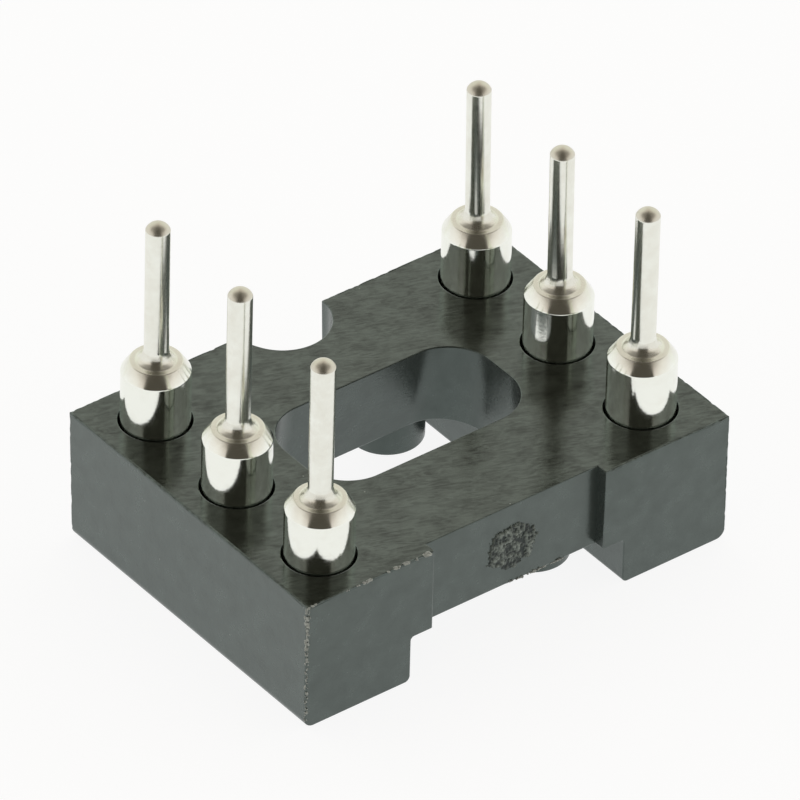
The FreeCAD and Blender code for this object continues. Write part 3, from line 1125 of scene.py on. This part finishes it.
@dataclass
class Studio:
    """Camera, light tent and floor.

    The tent is white all round, with a dark gap over the camera that runs overhead to the back.
    Azimuth 0 looks along +Y; lengths are in millimetres, angles in degrees.
    """

    middle: Vector
    azimuth: float = -38.5012
    elevation: float = 37.1710
    roll: float = 1.5407
    distance: float = 271.785
    lens: float = 645.49
    sensor: float = 36.0
    clip: tuple[float, float] = (10.0, 10000.0)
    aim: tuple[float, float, float] = (0.97187, 1.18053, -1.75)
    floor_size: float = 4000.0
    floor_gap: float = 0.005
    floor_colour: str = "#F2F2F0"
    floor_veil: float = 0.17
    floor_glow: float = 0.895
    tent_low: str = WHITE
    tent_high: str = "#F6EFE6"
    tent_behind: str = "#F8FAF0"
    tent_by_gap: str = "#D3C6BC"
    tent_overhead: str = "#8C8881"
    gap_colour: str = "#4E4A42"
    gap_half_width: float = 0.20
    gap_taper: float = 0.46
    gap_softness: float = 0.04
    # Where each tone of the tent sets in and where it is full: by height, by how far the
    # direction points to the camera's side, or by how far it lies inside the gap.
    rise_high: tuple[float, float] = (0.1, 0.6)
    rise_gap: tuple[float, float] = (0.0, 0.05)
    rise_overhead: tuple[float, float] = (0.5, 0.64)
    front_overhead: tuple[float, float] = (-0.5, -0.15)
    front_behind: tuple[float, float] = (-0.3, -0.7)
    inside_by_gap: tuple[float, float] = (-0.45, 0.0)

    def toward_camera(self) -> Vector:
        """Direction from the object to the camera."""
        azimuth, elevation = math.radians(self.azimuth), math.radians(self.elevation)
        return Vector((math.sin(azimuth) * math.cos(elevation),
                       -math.cos(azimuth) * math.cos(elevation), math.sin(elevation)))

    def build_camera(self) -> None:
        """Makes the scene's camera."""
        back = self.toward_camera()
        right = (-back).cross(Vector((0, 0, 1))).normalized()
        right = Matrix.Rotation(math.radians(self.roll), 3, back) @ right
        rotation = Matrix((right, back.cross(right), back)).transposed()
        data = bpy.data.cameras.new("camera")
        data.sensor_width = self.sensor
        data.lens = self.lens
        data.clip_start, data.clip_end = (limit * MM for limit in self.clip)
        camera = bpy.data.objects.new("camera", data)
        bpy.context.scene.collection.objects.link(camera)
        place = (self.middle + Vector(self.aim) + back * self.distance) * MM
        camera.matrix_world = Matrix.Translation(place) @ rotation.to_4x4()
        bpy.context.scene.camera = camera

    def build_tent(self) -> None:
        """Makes the world: a white tent with its dark gap, plain white behind the object."""
        world = bpy.data.worlds.new("light_tent")
        bpy.context.scene.world = world
        world.use_nodes = True
        tree = world.node_tree
        tree.nodes.clear()
        ahead = self.toward_camera()
        ahead.z = 0
        ahead.normalize()
        side = Vector((-ahead.y, ahead.x, 0))
        way = add_node(tree, "TexCoord").outputs["Generated"]
        aside, front = (add_node(tree, "VectorMath", [way, axis],
                                 operation="DOT_PRODUCT") for axis in (side, ahead))
        apart = add_node(tree, "Math", [aside], operation="ABSOLUTE")
        half_gap = add_node(tree, "Math", [front, self.gap_taper, self.gap_half_width],
                            operation="MULTIPLY_ADD")
        inside = add_node(tree, "Math", [half_gap, apart], operation="SUBTRACT")
        gap = add_node(tree, "MapRange", [inside, -self.gap_softness, self.gap_softness],
                       interpolation_type="SMOOTHSTEP")
        rise = add_node(tree, "SeparateXYZ", [way]).outputs["Z"]
        high, above, overhead, before, behind, by_gap = (
            add_node(tree, "MapRange", [source, *reach]) for source, reach in (
                (rise, self.rise_high), (rise, self.rise_gap), (rise, self.rise_overhead),
                (front, self.front_overhead), (front, self.front_behind),
                (inside, self.inside_by_gap)))
        shaded, hooded, dark = (
            add_node(tree, "Math", pair, operation="MULTIPLY")
            for pair in ((by_gap, high), (overhead, before), (gap, above)))
        seen = add_node(tree, "LightPath").outputs["Is Camera Ray"]
        cloth = self.tent_low
        for share, colour in ((high, self.tent_high), (behind, self.tent_behind),
                              (shaded, self.tent_by_gap), (hooded, self.tent_overhead),
                              (dark, self.gap_colour), (seen, WHITE)):
            cloth = add_node(tree, "Mix", [share, cloth, colour], data_type="RGBA")
        light = add_node(tree, "Background", [cloth])
        add_node(tree, "OutputWorld", {"Surface": light})

    def floor_material(self) -> Material:
        """Makes the floor's finish: pale matt sheet that shows nearly white and keeps shadows.

        Returns:
            The material.
        """
        material, tree = new_material("pale_matt_sheet")
        sheet = add_node(tree, "BsdfDiffuse", [self.floor_colour])
        veil = add_node(tree, "BsdfDiffuse", [(*[self.floor_veil] * 3, 1.0)])
        glow = add_node(tree, "Emission", [WHITE, self.floor_glow])
        bright = add_node(tree, "AddShader", [veil, glow])
        path = add_node(tree, "LightPath")
        seen = path.outputs["Is Camera Ray"]
        for ray in ("Is Glossy Ray", "Is Transmission Ray"):
            seen = add_node(tree, "Math", [seen, path.outputs[ray]],
                            operation="MAXIMUM")
        surface = add_node(tree, "MixShader", [seen, sheet, bright])
        add_node(tree, "OutputMaterial", {"Surface": surface})
        return material

    def build_floor(self) -> None:
        """Makes the floor under the entry face."""
        bm = bmesh.new()
        bmesh.ops.create_grid(bm, x_segments=1, y_segments=1, size=self.floor_size / 2 * MM)
        bmesh.ops.translate(bm, verts=bm.verts, vec=(0, 0, -self.floor_gap * MM))
        floor = add_object(bm, "floor")
        floor.data.materials.append(self.floor_material())

    def build(self) -> None:
        """Makes everything round the object."""
        self.build_tent()
        self.build_floor()
        self.build_camera()
        bpy.context.scene.view_settings.view_transform = "Standard"
        log.info("studio: camera at %.1f, %.1f degrees", self.azimuth, self.elevation)


# Assembly

# How the pins of this socket are seated, by number; pins 1 to 3 are the row at +X.
SEATINGS = {
    1: Seating(0.064, -0.018, (-0.030, 0.024)),
    2: Seating(0.070, -0.014, (-0.024, 0.019)),
    3: Seating(),
    4: Seating(0.130, -0.032),
    5: Seating(0.073, 0.015),
    6: Seating(0.036, -0.030),
}


def flash_runs(body: MouldedFrame) -> list[EdgeRun]:
    """Stretches of the frame's edges that carry flash.

    Args:
        body: The frame.

    Returns:
        The stretches, in the order in which their shreds are drawn.
    """
    left, front, top = -body.half_width, -body.half_length, body.height
    along_x, along_y, down = Vector((1, 0, 0)), Vector((0, 1, 0)), Vector((0, 0, -1))
    # Along the solder face's front edge: start, end, shreds and size.
    patches = ((-4.98, -4.80, 7, 0.05), (-4.12, -4.02, 3, 0.05), (-3.86, -3.78, 3, 0.04),
               (-3.70, -3.50, 8, 0.055), (-3.16, -3.10, 2, 0.045), (-2.96, -2.80, 6, 0.065),
               (-2.70, -2.62, 4, 0.075), (-2.46, -2.40, 2, 0.04), (-2.24, -2.16, 7, 0.085))
    runs = [EdgeRun(Vector((start, front, top)), Vector((end, front, top)), shreds, size,
                    (along_y, down))
            for start, end, shreds, size in patches]
    # Down the front left corner: reach, shreds, size and scatter.
    corner = Vector((left, front, top))
    for reach, shreds, size, scatter in ((2.7, 80, 0.04, 0.04), (1.1, 45, 0.05, 0.06)):
        runs.append(EdgeRun(corner + down * reach, corner, shreds, size, (along_x, along_y),
                            scatter))
    # Under the recessed end face.
    inner, under = front + body.recess_depth, body.underside
    runs.append(EdgeRun(Vector((-0.25, inner, under)), Vector((1.3, inner, under)), 40, 0.05,
                        (along_y, -down)))
    return runs


def main() -> None:
    """Builds every piece, then the studio."""
    logging.basicConfig(level=logging.INFO, format="%(message)s")
    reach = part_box("frame")[1] / MM
    sleeves = [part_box(f"pin_sleeve_{number}") for number in SEATINGS]
    places = [(low + high) / 2 / MM for low, high in sleeves]
    body = MouldedFrame(*reach, places)
    torn = TornPolyester().build()
    trimmed = TornPolyester("trimmed_polyester", pit="#6F7471", tip="#DADFD9").build()
    tin = BrightTin().build()
    gold = GoldFlash().build()

    body.build(GlassFilledPolyester().build())
    GateScar(body.gate).build(torn)
    MouldFlash(flash_runs(body)).build(trimmed)
    for number, place in enumerate(places, start=1):
        TurnedSleeve(number, place, SEATINGS[number]).build(tin)
        SpringClip(number, place).build(gold)
    Studio((CAD_BOX[0] + CAD_BOX[1]) / 2 / MM).build()


if __name__ == "__main__":
    main()
